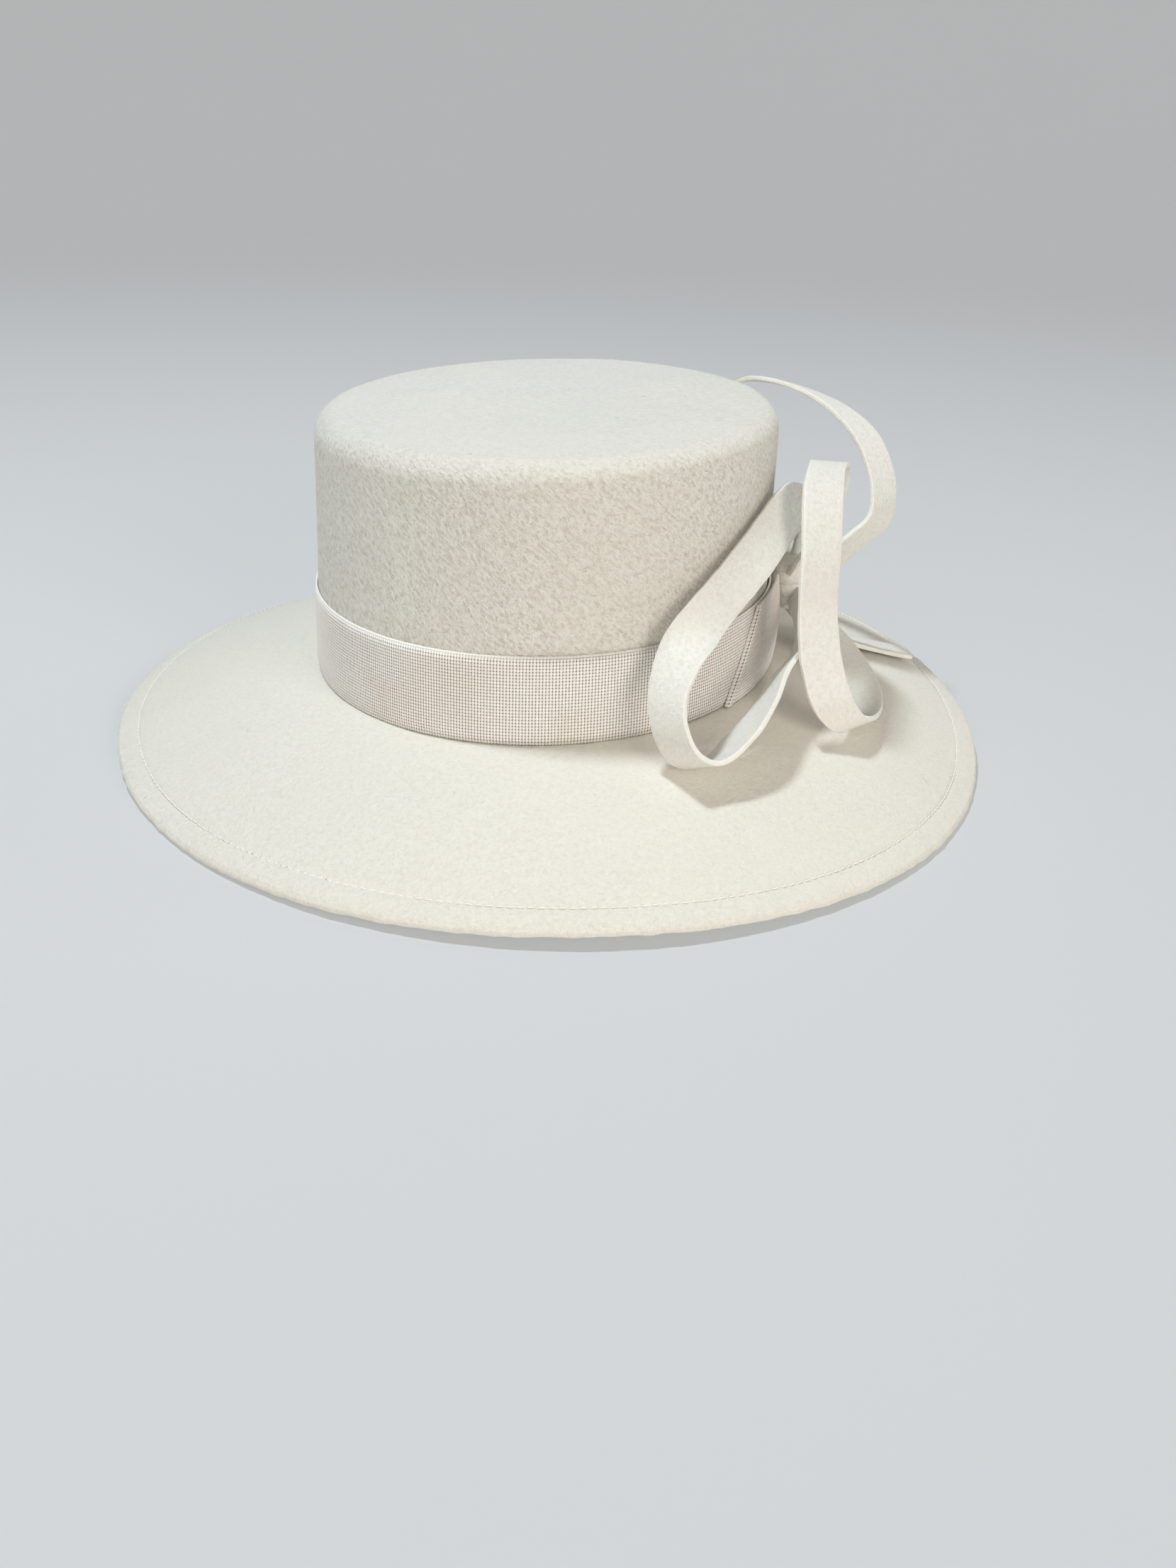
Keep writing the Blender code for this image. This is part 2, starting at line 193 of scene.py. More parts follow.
# A row for each bend of a strip: azimuth in degrees; distance out as a share of the brim's width;
# height over the brim as a share of CROWN_HEIGHT; turn and tilt of the width line in degrees;
# width as a share of STRIP_WIDTH
LOOP_FRONT_ROWS = [
    (-9, 0.105, 0.31, -127, -11, 0.4),
    (-11.5, 0.145, 0.40, -127, -8, 0.75),
    (-16, 0.175, 0.51, -126, -20, 1),
    (-20, 0.19, 0.61, -108, -52, 1),
    (-24, 0.15, 0.665, -70, -78, 1),
    (-27, 0.117, 0.691, -38, -66, 1),
    (-32.5, 0.095, 0.675, -14, -60, 1),
    (-48, 0.10, 0.581, 3, -43, 1),
    (-64, 0.135, 0.435, -5, -40, 1),
    (-71, 0.20, 0.365, -40, -12, 1),
    (-75, 0.28, 0.26, -52, 10, 1),
    (-75.2, 0.345, 0.173, -55, 22, 1),
    (-73.3, 0.385, 0.105, -60, 28, 1),
    (-69, 0.39, 0.075, -68, 24, 1),
    (-62.5, 0.375, 0.135, -71, 17, 1),
    (-55.5, 0.33, 0.185, -76, 24, 1),
    (-46, 0.245, 0.205, -79, 34, 1),
    (-33, 0.22, 0.225, -66, 47, 1),
    (-22, 0.18, 0.24, -40, 59, 0.8),
    (-11, 0.125, 0.245, -16, 61, 0.45),
]
LOOP_MIDDLE_ROWS = [
    (-5, 0.135, 0.335, 23, 0, 0.4),
    (-5.5, 0.20, 0.46, 15, 4, 0.85),
    (-9, 0.23, 0.63, 11, 4, 1),
    (-14, 0.23, 0.785, 10, 1, 1),
    (-24, 0.218, 0.843, 20, -13, 1),
    (-32, 0.241, 0.795, 15, -15, 1),
    (-37, 0.289, 0.64, 20, -10, 1),
    (-40, 0.325, 0.43, 21, -8, 1),
    (-42, 0.39, 0.263, 15, -3, 1),
    (-42, 0.455, 0.158, 17, 4, 1),
    (-40, 0.493, 0.105, 21, 6, 1),
    (-36.5, 0.513, 0.07, 25, 8, 1),
    (-31, 0.51, 0.057, 25, 9, 1),
    (-25, 0.472, 0.062, 24, 6, 1),
    (-20, 0.415, 0.084, 27, 3, 1),
    (-15, 0.34, 0.112, 33, 5, 1),
    (-10.5, 0.245, 0.15, 37, 14, 0.8),
    (-8, 0.165, 0.2, 39, 20, 0.45),
]
LOOP_BACK_ROWS = [
    (-6, 0.165, 0.25, 56, -58, 0.4),
    (-1.5, 0.30, 0.34, 52, -40, 0.85),
    (1.5, 0.475, 0.472, 48, -28, 1),
    (3.2, 0.585, 0.57, 40, -19, 1),
    (6, 0.62, 0.70, 36, -9, 1),
    (10, 0.58, 0.845, 38, -3, 1),
    (14.5, 0.487, 0.92, 47, -6, 1),
    (20, 0.389, 0.953, 63, -9, 1),
    (26, 0.275, 0.962, 75, -11, 1),
    (32, 0.215, 0.94, 78, -11, 1),
    (35.5, 0.185, 0.87, 67, -8, 1),
    (34, 0.158, 0.745, 53, -5, 1),
    (27, 0.137, 0.585, 40, -9, 1),
    (16, 0.137, 0.44, 23, -16, 1),
    (6, 0.145, 0.335, 6, -15, 0.75),
    (-3, 0.115, 0.265, 0, -11, 0.4),
]
TAIL_ROWS = [
    (-6, 0.12, 0.165, 108, 0, 0.45),
    (-3.5, 0.218, 0.098, 108, -3, 0.9),
    (-1, 0.324, 0.058, 107, -5, 1),
    (1.2, 0.445, 0.034, 103, -5, 1),
    (3.2, 0.58, 0.024, 100, -3, 1),
    (4.9, 0.715, 0.024, 97, -2, 1),
    (6.2, 0.84, 0.031, 95, -3, 1),
]
STRIPS = {
    "loop_front": LOOP_FRONT_ROWS,
    "loop_middle": LOOP_MIDDLE_ROWS,
    "loop_back": LOOP_BACK_ROWS,
    "tail": TAIL_ROWS,
}

# Cut edges of the strips: radius of the corners, wander of the cut and its wavelength
STRIP_CORNER = 0.0003
CUT_WANDER = 0.00022
CUT_WAVELENGTH = 0.006

# Knot: share of the solid's size, squareness of its outline upright and flat, and the number, slant
# and start of its wrapped turns
KNOT_SHARE = 0.97
KNOT_SQUARE = 2.6
KNOT_FLAT_SQUARE = 0.8
KNOT_WRAPS = 2.2
KNOT_SLANT = 0.9
KNOT_WRAP_START = 0.5

# Hem seam: distance from the brim's outline, its groove, and the swell of the hem outside it
SEAM_INSET = 0.0078
SEAM_GROOVE = 0.00028
SEAM_GROOVE_WIDTH = 0.0008
HEM_SWELL = 0.00035

# Stitches: pitch and length; radius of the thread, and its shares of that radius along a stitch;
# slant and wander sideways; sink of the ends, rise of the middle, and drop of the upper ones
STITCH_PITCH = 0.0031
STITCH_LENGTH = 0.0026
THREAD_RADIUS = 0.00023
THREAD_SHARES = [0.5, 1, 1, 1, 1, 0.5]
STITCH_SLANT = 0.00015
STITCH_WANDER = 0.00008
STITCH_SINK = 0.00022
STITCH_RISE = 0.00028
STITCH_DROP = 0.00002

# Unevenness of the surfaces, in layers of a wavelength, a height and a seed
CROWN_WAVES = [(0.045, 0.0004, 1), (0.012, 0.00016, 2), (0.004, 0.0001, 3)]
BRIM_WAVES = [(0.05, 0.0005, 4), (0.012, 0.00012, 5)]
RIM_WAVES = [(0.0055, 0.00035, 6), (0.0028, 0.0002, 7)]
KNOT_WAVES = [(0.006, 0.0003, 31), (0.002, 0.00012, 32)]
# The rim's own unevenness: where it starts as a share of the outline, the share over which it
# grows, and its least strength
RIM_START = 0.955
RIM_FADE = 0.04
RIM_LEAST = 0.15

# Loose fibres: name; number on each piece; shortest and longest; least and most lift in degrees;
# radius; seed
FIBRES = [
    ("crown_fuzz", 6500, (0.0006, 0.0016), (5, 40), 0.00002, 41),
    ("brim_fuzz", 7000, (0.0005, 0.0013), (5, 40), 0.00002, 42),
    ("strip_fuzz", 900, (0.0004, 0.0011), (5, 45), 0.00002, 43),
    ("crown_hairs", 16, (0.0008, 0.003), (0, 4), 0.000035, 44),
    ("brim_hairs", 22, (0.0008, 0.003), (0, 4), 0.000035, 45),
    ("strip_hairs", 14, (0.0005, 0.0018), (0, 4), 0.00003, 46),
]
# Share of a fibre's length, and share of its radius there
FIBRE_TAPER = [(0.0, 1.0), (0.35, 1.0), (0.7, 0.8), (1.0, 0.35)]
# Fibres keep this far above the ribbon, and this far from the hat's axis on the strips
FIBRE_CLEAR = 0.002
FIBRE_AXIS_CLEAR = 0.105

# Fineness of the meshes
CROWN_COLUMNS = 480
CROWN_WALL_LEVELS = 68
CROWN_EDGE_LEVELS = 11
CROWN_TIP_LEVELS = 32
BRIM_COLUMNS = 720
SAMPLES_PER_RIB = 6
STRIP_STEPS = 14
KNOT_COLUMNS = 96
KNOT_ROWS = 61

UV_NAME = "cloth"
# Way round the brim's section, for its UV layer
BRIM_GIRTH = 0.19


def lean(x, y):
    return x * math.tan(LEAN_SIDE) + y * math.tan(LEAN_BACK)


def crown_points(angles, offset, height):
    """Points on the crown's oval, offset outwards, at a height over the brim."""
    x = (CROWN_HALF_WIDTH + offset) * np.cos(angles)
    y = (CROWN_HALF_DEPTH + offset) * np.sin(angles)
    return np.stack([CROWN_SHIFT + x, y, BRIM_RISE + height + lean(x, y)], -1)


def smooth_step(start, start_slope, end, end_slope, u):
    """Value between start and end, where u runs from 0 to 1 and the slopes hold at both ends."""
    return (
        start * (2 * u**3 - 3 * u**2 + 1)
        + start_slope * (u**3 - 2 * u**2 + u)
        + end * (3 * u**2 - 2 * u**3)
        + end_slope * (u**3 - u**2)
    )


def brim_lifts(angles):
    """Gap under the brim's edge, by monotone cubic steps through the table."""
    count = len(BRIM_LIFTS)
    table = np.array(BRIM_LIFTS)
    place = (np.degrees(angles) % 360) / 360 * count
    low = place.astype(int) % count
    u = place - place.astype(int)
    value = [table[(low + k) % count] for k in (-1, 0, 1, 2)]
    rise = [value[k + 1] - value[k] for k in range(3)]
    slopes = []
    for before, after in zip(rise, rise[1:]):
        product = before * after
        total = np.where(product > 0, before + after, 1.0)
        slopes.append(np.where(product > 0, 2 * product / total, 0.0))
    return smooth_step(value[1], slopes[0], value[2], slopes[1], u) * BRIM_RISE


class Brim:
    """The brim's top face at a set of angles."""

    def __init__(self, angles):
        self.angles = angles
        self.inner = crown_points(angles, 0.0, 0.0)
        x = BRIM_HALF_WIDTH * np.cos(angles)
        y = BRIM_HALF_DEPTH * np.sin(angles)
        self.run = np.stack([x - self.inner[:, 0], y - self.inner[:, 1]], -1)
        self.width = np.linalg.norm(self.run, axis=1)
        self.flat = self.run / self.width[:, None]
        self.lift = brim_lifts(angles)
        self.tilt = np.arctan((2 - BRIM_FLATNESS) * (self.inner[:, 2] - self.lift) / self.width)
        self.edge_inset = FELT * (1 - np.sin(self.tilt))
        fall = np.tan(self.tilt) * self.edge_inset
        self.edge_height = self.lift + FELT * (1 + np.cos(self.tilt)) - fall

    def top(self, out):
        """Points at a share of the width: out is 0 at the crown and 1 at the edge."""
        fall = BRIM_FLATNESS * out + (1 - BRIM_FLATNESS) * out * out
        return np.stack([
            self.inner[:, 0] + self.run[:, 0] * out,
            self.inner[:, 1] + self.run[:, 1] * out,
            self.inner[:, 2] + (self.edge_height - self.inner[:, 2]) * fall,
        ], -1)

    def normal(self, out):
        """Upward normals in the radial sections."""
        steepness = BRIM_FLATNESS + 2 * (1 - BRIM_FLATNESS) * out
        slope = (steepness * (self.edge_height - self.inner[:, 2]) / self.width)[:, None]
        upright = np.append(-slope * self.flat, np.ones_like(slope), 1)
        return upright / np.sqrt(1 + slope * slope)


def even_angles(count, half_width, half_depth):
    """Angles of evenly spaced places round an oval, and the oval's length."""
    fine = np.linspace(0, 2 * math.pi, 7201)
    x = half_width * np.cos(fine)
    y = half_depth * np.sin(fine)
    length = np.concatenate([[0], np.cumsum(np.hypot(np.diff(x), np.diff(y)))])
    return np.interp(np.arange(count) * length[-1] / count, length, fine), length[-1]


def oval_length(half_width, half_depth):
    return even_angles(1, half_width, half_depth)[1]


def grid_piece(name, grid, uv, closed_rows=False):
    """Mesh piece from a grid of points whose columns wrap round. Open rows end in a fan."""
    rows, cols = grid.shape[:2]
    i = np.arange(rows if closed_rows else rows - 1)[:, None]
    j = np.arange(cols)[None, :]
    above = (i + 1) % rows
    right = (j + 1) % cols
    quads = np.stack([
        i * cols + j,
        i * cols + right,
        above * cols + right,
        above * cols + j,
    ], -1).reshape(-1, 4)
    corners = np.stack([uv[i, j], uv[i, j + 1], uv[i + 1, j + 1], uv[i + 1, j]], 2).reshape(-1, 2)
    points = grid.reshape(-1, 3).tolist()
    faces = quads.tolist()
    corner_uvs = [corners]
    if not closed_rows:
        for row in (0, rows - 1):
            points.append(grid[row].mean(0).tolist())
            pole = len(points) - 1
            for k in range(cols):
                faces.append((pole, row * cols + k, row * cols + (k + 1) % cols))
            middle = uv[row, :-1].mean(0)
            fan = np.stack([np.broadcast_to(middle, (cols, 2)), uv[row, :-1], uv[row, 1:]], 1)
            corner_uvs.append(fan.reshape(-1, 2))
    mesh = bpy.data.meshes.new(name)
    mesh.from_pydata(points, [], faces)
    layer = mesh.uv_layers.new(name=UV_NAME)
    layer.data.foreach_set("uv", np.concatenate(corner_uvs).astype(np.float32).ravel())
    return finish_mesh(name, mesh)


def finish_mesh(name, mesh):
    """Outward faces, smooth shading, and an object in the scene."""
    bm = bmesh.new()
    bm.from_mesh(mesh)
    bmesh.ops.recalc_face_normals(bm, faces=bm.faces)
    bm.to_mesh(mesh)
    bm.free()
    mesh.shade_smooth()
    piece = bpy.data.objects.new(name, mesh)
    bpy.context.scene.collection.objects.link(piece)
    return piece


def read_points(piece):
    mesh = piece.data
    points = np.empty(len(mesh.vertices) * 3, np.float32)
    normals = np.empty(len(mesh.vertices) * 3, np.float32)
    mesh.vertices.foreach_get("co", points)
    mesh.vertices.foreach_get("normal", normals)
    return points.reshape(-1, 3).astype(float), normals.reshape(-1, 3).astype(float)


def roughen(piece, layers, mask=1.0):
    """Move the surface in and out by noise, but not below the floor. mask scales it at each point."""
    points, normals = read_points(piece)
    amount = np.zeros(len(points))
    for wavelength, height, seed in layers:
        shift = Vector((seed * 3.1, seed * 7.7, seed * 5.3))
        amount += height * np.array([noise.noise(Vector(p) / wavelength + shift) for p in points])
    points += normals * (amount * mask)[:, None]
    points[:, 2] = np.maximum(points[:, 2], 0.0)
    piece.data.vertices.foreach_set("co", points.astype(np.float32).ravel())
    piece.data.update()


def wrap_uv(u, v):
    """Grid of uv pairs from the places along and across."""
    return np.stack(np.broadcast_arrays(u[None, :], v[:, None]), -1)


def crown_profile():
    """Outer profile of the crown: kind of level, offset or share, and height."""
    wall_top = CROWN_HEIGHT - TIP_DOME - CROWN_EDGE_RADIUS
    levels = []
    for height in np.linspace(CLOTH_GAP, wall_top, CROWN_WALL_LEVELS):
        levels.append(("wall", -CROWN_TAPER * (height - CLOTH_GAP) / (wall_top - CLOTH_GAP), height))
    for turn in np.radians(np.linspace(8, 90, CROWN_EDGE_LEVELS)):
        levels.append((
            "wall",
            -CROWN_TAPER - CROWN_EDGE_RADIUS * (1 - math.cos(turn)),
            wall_top + CROWN_EDGE_RADIUS * math.sin(turn),
        ))
    for share in np.linspace(0.97, 0.03, CROWN_TIP_LEVELS):
        past = max(0.0, (share - TIP_FLAT_SHARE) / (1 - TIP_FLAT_SHARE))
        levels.append(("tip", share, CROWN_HEIGHT - TIP_DOME * past * past))
    return levels


def crown_ring(angles, level, inset):
    """Points of one level. inset is 0 on the outer face and the felt's thickness on the inner one."""
    kind, value, height = level
    if kind == "wall":
        return crown_points(angles, value - inset, height - inset * (height > 0.5 * CROWN_HEIGHT))
    shoulder = CROWN_EDGE_RADIUS + CROWN_TAPER
    x = (CROWN_HALF_WIDTH - shoulder) * value * np.cos(angles)
    y = (CROWN_HALF_DEPTH - shoulder) * value * np.sin(angles)
    return np.stack([CROWN_SHIFT + x, y, BRIM_RISE + height - inset + lean(x, y)], -1)


def make_crown():
    """Felt crown as a shell, from its inside over its lower edge to its outside."""
    angles, length = even_angles(CROWN_COLUMNS, CROWN_HALF_WIDTH, CROWN_HALF_DEPTH)
    outer = crown_profile()
    inner = outer[::6]
    rings = [crown_ring(angles, level, FELT) for level in reversed(inner)]
    rings += [crown_ring(angles, level, 0.0) for level in outer]
    grid = np.array(rings)
    steps = np.linalg.norm(np.diff(grid[:, 0], axis=0), axis=1)
    v = np.concatenate([[0], np.cumsum(steps)])
    v -= v[len(inner)]
    u = np.linspace(0, length, CROWN_COLUMNS + 1)
    crown = grid_piece("crown_felt", grid, wrap_uv(u, v))
    roughen(crown, CROWN_WAVES)
    return crown


def brim_top_ring(brim, out):
    """Ring on the brim's top face, with the seam's groove and the swell of the hem."""
    distance = (1 - out) * brim.width
    groove = SEAM_GROOVE * np.exp(-((distance - SEAM_INSET) / SEAM_GROOVE_WIDTH) ** 2)
    swell = HEM_SWELL * np.clip((SEAM_INSET - distance) / SEAM_INSET, 0, 1) ** 0.5
    return brim.top(out) + brim.normal(out) * (swell - groove)[:, None]


def brim_edge_rings(brim, out):
    """Rings round the folded edge, from the top face to the underside."""
    normal = brim.normal(out)
    middle = brim.top(out) - normal * FELT
    outward = np.stack([np.cos(brim.angles), np.sin(brim.angles), np.zeros_like(brim.angles)], -1)
    outward -= normal * (outward * normal).sum(1)[:, None]
    outward /= np.linalg.norm(outward, axis=1)[:, None]
    return [
        middle + (normal * math.cos(turn) + outward * math.sin(turn)) * FELT
        for turn in np.radians(np.linspace(15, 165, 11))
    ]


def make_brim():
    """Felt brim with its hem turned under, and its collar turned up inside the crown."""
    angles, length = even_angles(BRIM_COLUMNS, BRIM_HALF_WIDTH, BRIM_HALF_DEPTH)
    brim = Brim(angles)
    edge_out = 1 - (brim.edge_inset / brim.width).mean()
    hem_out = (1 - HEM_WIDTH / brim.width).mean()
    seam = SEAM_INSET / brim.width.mean()
    collar_outside = -(FELT + CLOTH_GAP)
    collar_inside = collar_outside - FELT
    rings = [crown_points(angles, collar_outside, share * COLLAR_HEIGHT) for share in (1, 0.5, 0)]
    rings += [brim_top_ring(brim, out) for out in np.linspace(0, 1 - 1.35 * seam, 44)]
    rings += [brim_top_ring(brim, out) for out in np.linspace(1 - 1.3 * seam, edge_out, 24)]
    rings += brim_edge_rings(brim, edge_out)
    for out in np.linspace(edge_out, hem_out, 12):
        rings.append(brim.top(out) - brim.normal(out) * 2 * FELT)
    for out in np.linspace(hem_out - 0.002, 0, 22):
        rings.append(brim.top(out) - brim.normal(out) * FELT)
    for height in (-FELT, 0.5 * COLLAR_HEIGHT, COLLAR_HEIGHT):
        rings.append(crown_points(angles, collar_inside, height))
    grid = np.array(rings)
    grid[:, :, 2] = np.maximum(grid[:, :, 2], 0.0)
    u = np.linspace(0, length, BRIM_COLUMNS + 1)
    v = np.linspace(0, BRIM_GIRTH, len(rings) + 1)
    piece = grid_piece("brim_felt", grid, wrap_uv(u, v), closed_rows=True)
    points = read_points(piece)[0]
    reach = np.hypot(points[:, 0] / BRIM_HALF_WIDTH, points[:, 1] / BRIM_HALF_DEPTH)
    rim = np.clip((reach - RIM_START) / RIM_FADE, 0, 1)
    roughen(piece, BRIM_WAVES)
    roughen(piece, RIM_WAVES, RIM_LEAST + (1 - RIM_LEAST) * rim)
    return piece


def tube_rings(path, radii, sides=6):
    """Rings of a thin tube along a short path."""
    rings = []
    for k, point in enumerate(path):
        ahead = (path[min(k + 1, len(path) - 1)] - path[max(k - 1, 0)]).normalized()
        across = ahead.orthogonal().normalized()
        up = ahead.cross(across)
        ring = []
        for side in range(sides):
            turn = 2 * math.pi * side / sides
            ring.append(point + (across * math.cos(turn) + up * math.sin(turn)) * radii[k])
        rings.append(ring)
    return rings


def joined_tubes(name, tubes):
    """One piece from many small closed tubes, each a list of rings of equal length."""
    points = []
    faces = []
    for rings in tubes:
        start = len(points)
        sides = len(rings[0])
        for ring in rings:
            points.extend(ring)
        for k in range(len(rings) - 1):
            for s in range(sides):
                t = (s + 1) % sides
                low = start + k * sides
                faces.append((low + s, low + t, low + sides + t, low + sides + s))
        faces.append([start + s for s in reversed(range(sides))])
        faces.append([start + (len(rings) - 1) * sides + s for s in range(sides)])
    mesh = bpy.data.meshes.new(name)
    mesh.from_pydata([tuple(p) for p in points], [], faces)
    return finish_mesh(name, mesh)


def make_stitches():
    """Machine stitches along the hem's seam, above and below the brim."""
    rng = random.Random(11)
    half_width = BRIM_HALF_WIDTH - SEAM_INSET
    half_depth = BRIM_HALF_DEPTH - SEAM_INSET
    length = oval_length(half_width, half_depth)
    starts, _ = even_angles(int(length / STITCH_PITCH), half_width, half_depth)
    turn = 2 * math.pi * STITCH_LENGTH / length
    steps = np.linspace(0, 1, len(THREAD_SHARES))
    radii = THREAD_RADIUS * np.array(THREAD_SHARES)
    lie = STITCH_RISE * np.sin(math.pi * steps) - STITCH_SINK
    tubes = []
    for side, drop in ((1, -STITCH_DROP), (-1, -2 * FELT)):
        for start in starts:
            brim = Brim(start + turn * steps)
            out = 1 - SEAM_INSET / brim.width.mean()
            slant = rng.uniform(-STITCH_SLANT, STITCH_SLANT) * (1 - 2 * steps)
            wander = slant + rng.uniform(-STITCH_WANDER, STITCH_WANDER)
            aside = np.append(brim.flat, np.zeros((len(steps), 1)), 1) * wander[:, None]
            path = brim.top(out) + aside + brim.normal(out) * (drop + side * lie)[:, None]
            tubes.append(tube_rings([Vector(p) for p in path], radii))
    return joined_tubes("hem_stitches", tubes)


def rib_relief(place):
    """0 between two ribs and 1 on top of a rib, at a place counted in ribs."""
    return np.abs(np.sin(math.pi * place)) ** 0.7


def make_band():
    """Ribbed ribbon round the foot of the crown, with fine loops along both edges."""
    outside = CLOTH_GAP + BAND_THICKNESS
    oval = (CROWN_HALF_WIDTH + outside, CROWN_HALF_DEPTH + outside)
    length = oval_length(*oval)
    ribs = round(length / RIB_PITCH)
    columns = ribs * SAMPLES_PER_RIB
    angles, _ = even_angles(columns, *oval)
    relief = rib_relief(np.arange(columns) / SAMPLES_PER_RIB)
    face = outside + RIB_RELIEF * (relief - 1)
    rings = [crown_points(angles, CLOTH_GAP, CLOTH_GAP)]
    v = [0.0]
    for share in np.linspace(0, 1, 11):
        picot = PICOT * relief * (share == 1) - PICOT * relief * (share == 0)
        soft = 0.4 * BAND_THICKNESS * (share in (0, 1))
        rings.append(crown_points(angles, face - soft, CLOTH_GAP + BAND_HEIGHT * share + picot))
        v.append(BAND_HEIGHT * share)
    rings.append(crown_points(angles, CLOTH_GAP, CLOTH_GAP + BAND_HEIGHT))
    v += [BAND_HEIGHT, 0.0]
    u = np.linspace(0, ribs * RIB_PITCH, columns + 1)
    band = grid_piece("band_ribbon", np.array(rings), wrap_uv(u, np.array(v)), closed_rows=True)
    return band, length


def smooth_table(table, count):
    """A table's columns read at evenly spaced places by smooth steps between its rows."""
    table = np.array(table, float)
    place = np.linspace(0, len(table) - 1, count)
    low = np.clip(place.astype(int), 0, len(table) - 2)
    u = (place - low)[:, None]
    slopes = np.gradient(table, axis=0)
    return smooth_step(table[low], slopes[low], table[low + 1], slopes[low + 1], u)


def make_band_end():
    """Lapped end of the ribbon: a folded edge, then a free stretch that lifts to the knot."""
    middle = (CROWN_HALF_WIDTH + CROWN_HALF_DEPTH) / 2
    first, last = BAND_END_COLUMNS[0], BAND_END_COLUMNS[-1]
    length = math.radians((last[0] + last[1] - first[0] - first[1]) / 2) * middle
    count = int(length / RIB_PITCH * SAMPLES_PER_RIB)
    rows = smooth_table(BAND_END_COLUMNS, count)
    shares = np.linspace(0, 1, 15)
    heights = CLOTH_GAP + BAND_HEIGHT * shares
    picots = PICOT * ((shares == 1) * 1.0 - (shares == 0))
    inside = 2 * CLOTH_GAP + BAND_THICKNESS
    grid = []
    for k, (low, high, stand_off) in enumerate(rows):
        along = k / SAMPLES_PER_RIB * RIB_PITCH
        relief = rib_relief(k / SAMPLES_PER_RIB + 0.5)
        ridge = FOLD_RIDGE * math.exp(-((along - FOLD_RIDGE_WIDTH) / FOLD_RIDGE_WIDTH) ** 2)
        rounding = min(1.0, along / BAND_THICKNESS)
        fullness = FOLD_THINNEST + (1 - FOLD_THINNEST) * math.sqrt(1 - (1 - rounding) ** 2)
        angles = np.radians(low + (high - low) * shares)
        near = inside + max(stand_off, 0) * BAND_HEIGHT * (1 + np.sin(math.pi * shares)) / 2
        face = near + BAND_THICKNESS * fullness + (ridge + RIB_RELIEF * (relief - 1)) * rounding
        outer = crown_points(angles, face, heights + picots * relief)
        inner = crown_points(angles, near, heights)
        grid.append(np.concatenate([outer, inner[::-1]]))
    grid = np.array(grid)
    v = np.concatenate([shares, shares[::-1], shares[:1]]) * BAND_HEIGHT
    u = (np.arange(count) / SAMPLES_PER_RIB + 0.5) * RIB_PITCH
    uv = np.stack(np.broadcast_arrays(u[:, None], v[None, :]), -1)
    return grid_piece("band_end_ribbon", grid, uv), length


def strip_row(azimuth, out, up, turn, tilt, width):
    """Middle of a strip's row, and half of its width line."""
    brim = Brim(np.radians(np.array([azimuth], float)))
    middle = Vector(brim.top(out)[0]) + Vector((0, 0, up * CROWN_HEIGHT))
    turn = math.radians(turn)
    tilt = math.radians(tilt)
    line = Vector((
        math.cos(turn) * math.cos(tilt),
        math.sin(turn) * math.cos(tilt),
        math.sin(tilt),
    ))
    return middle, line * width * STRIP_WIDTH / 2


def smooth_rows(rows):
    """Smooth curve through the rows, spaced by the root of the distance between them."""
    middles = [row[0] for row in rows]
    halves = [row[1] for row in rows]
    gaps = [math.sqrt((b - a).length) for a, b in zip(middles, middles[1:])]

    def slope(values, i):
        if i == 0:
            return (values[1] - values[0]) / gaps[0]
        if i == len(values) - 1:
            return (values[-1] - values[-2]) / gaps[-1]
        before, after = gaps[i - 1], gaps[i]
        back = (values[i] - values[i - 1]) / before
        ahead = (values[i + 1] - values[i]) / after
        return (back * after + ahead * before) / (before + after)

    def between(values, i, u):
        start_slope = slope(values, i) * gaps[i]
        end_slope = slope(values, i + 1) * gaps[i]
        return smooth_step(values[i], start_slope, values[i + 1], end_slope, u)

    result = []
    for i in range(len(rows) - 1):
        for k in range(STRIP_STEPS):
            u = k / STRIP_STEPS
            length = halves[i].length + (halves[i + 1].length - halves[i].length) * u
            result.append((between(middles, i, u), between(halves, i, u).normalized() * length))
    result.append(rows[-1])
    return result


def strip_section(half_width):
    """Rounded cross-section of a strip, as pairs of a place across and a place through."""
    half = STRIP_THICKNESS / 2
    corner_x = half_width - STRIP_CORNER
    corner_z = half - STRIP_CORNER
    corner = [
        (corner_x + STRIP_CORNER * math.cos(turn), corner_z + STRIP_CORNER * math.sin(turn))
        for turn in np.radians([60, 30, 0])
    ]
    points = [(x, half) for x in np.linspace(-corner_x, corner_x, 13)]
    points += corner + [(x, -z) for x, z in reversed(corner)]
    return points + [(-x, -z) for x, z in points]


